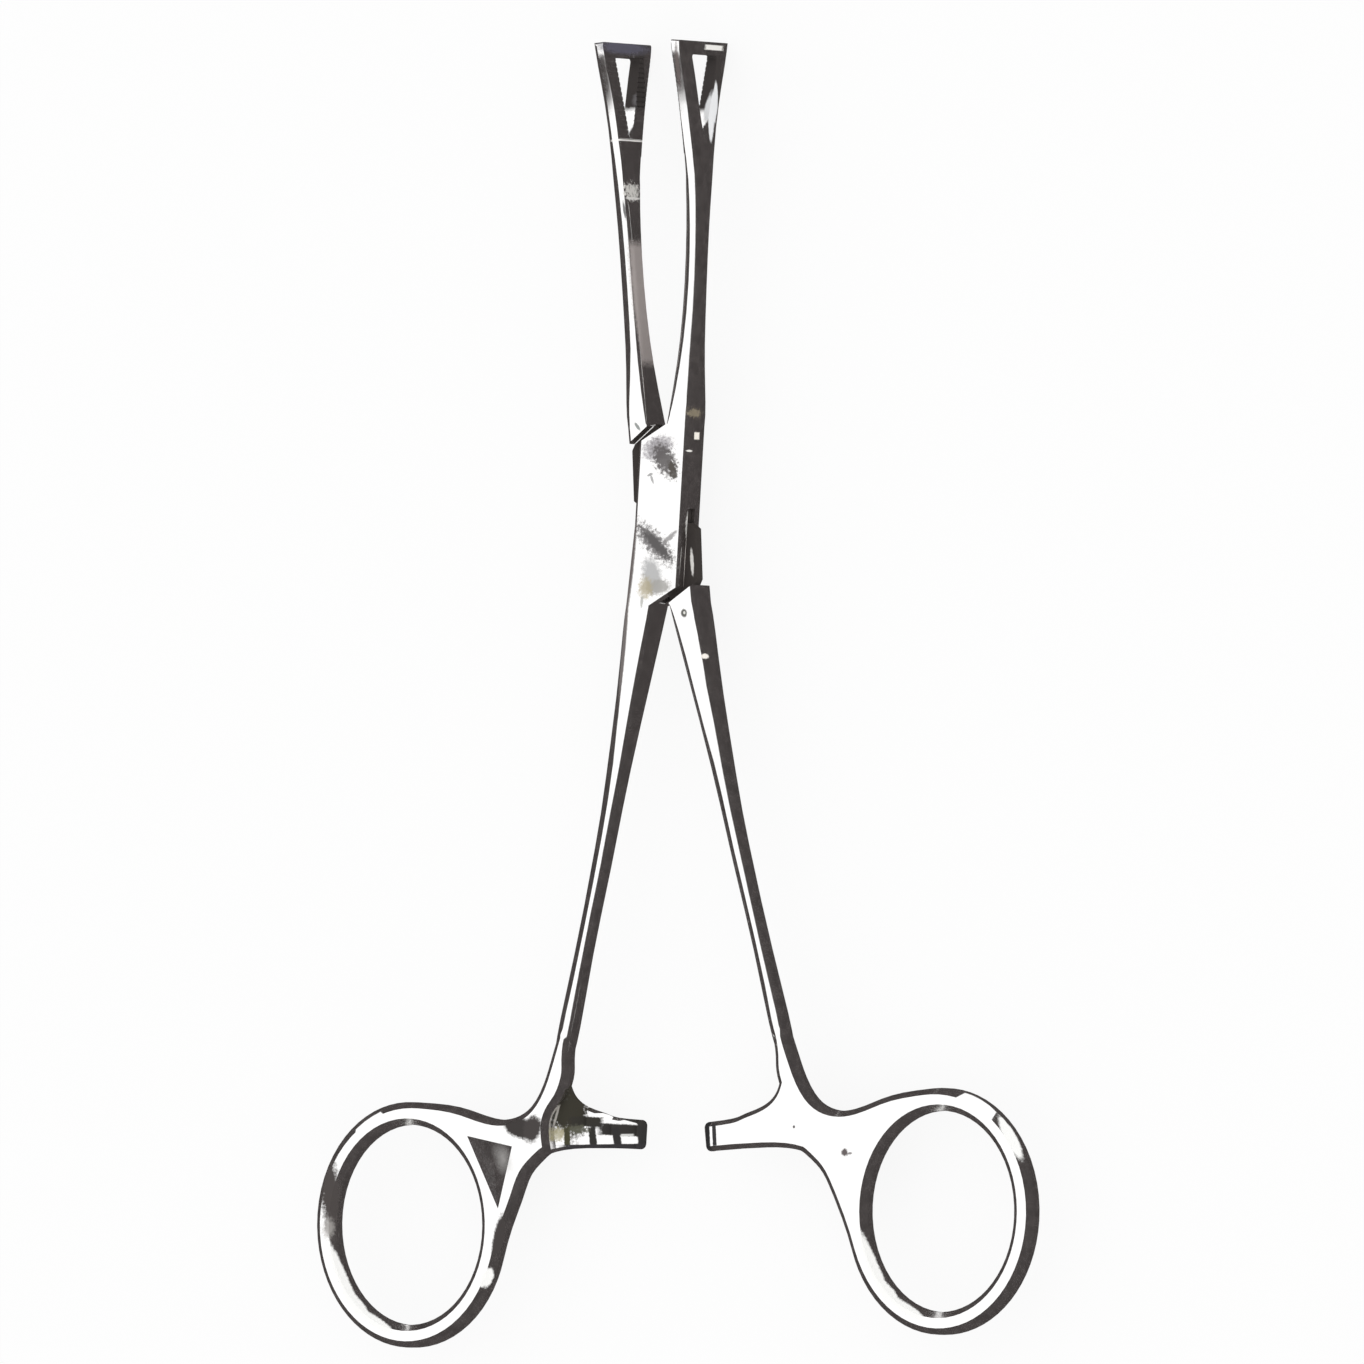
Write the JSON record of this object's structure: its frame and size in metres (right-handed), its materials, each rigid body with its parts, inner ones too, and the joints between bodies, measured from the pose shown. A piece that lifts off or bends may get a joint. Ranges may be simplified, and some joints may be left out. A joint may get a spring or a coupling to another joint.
{
  "type": "pennington forceps",
  "caption": "Box-lock tissue forceps with triangular windowed jaws, finger rings and a stepped ratchet, lying slightly open.",
  "frame": {"origin": "pivot axis at the lower face of the box", "axes": "+Z along the pivot axis, up from the surface the forceps lie on; +Y towards the jaw tips; +X to the right, the side of the box half's jaw"},
  "size_m": [0.096, 0.1541, 0.0124],
  "materials": {
    "polished_steel": "mirror polished stainless steel",
    "pin_steel": "mirror polished stainless steel, ground flush"
  },
  "bodies": {
    "box_half": {"female_half": "polished_steel", "pivot_pin": "pin_steel"},
    "tongue_half": {"male_half": "polished_steel"}
  },
  "joints": [
    {"name": "box_lock", "type": "hinge", "parent": "box_half", "child": "tongue_half", "pos_m": [0, 0, 0.0025], "axis": [0, 0, 1], "range_deg": [-9.1, 25]}
  ]
}
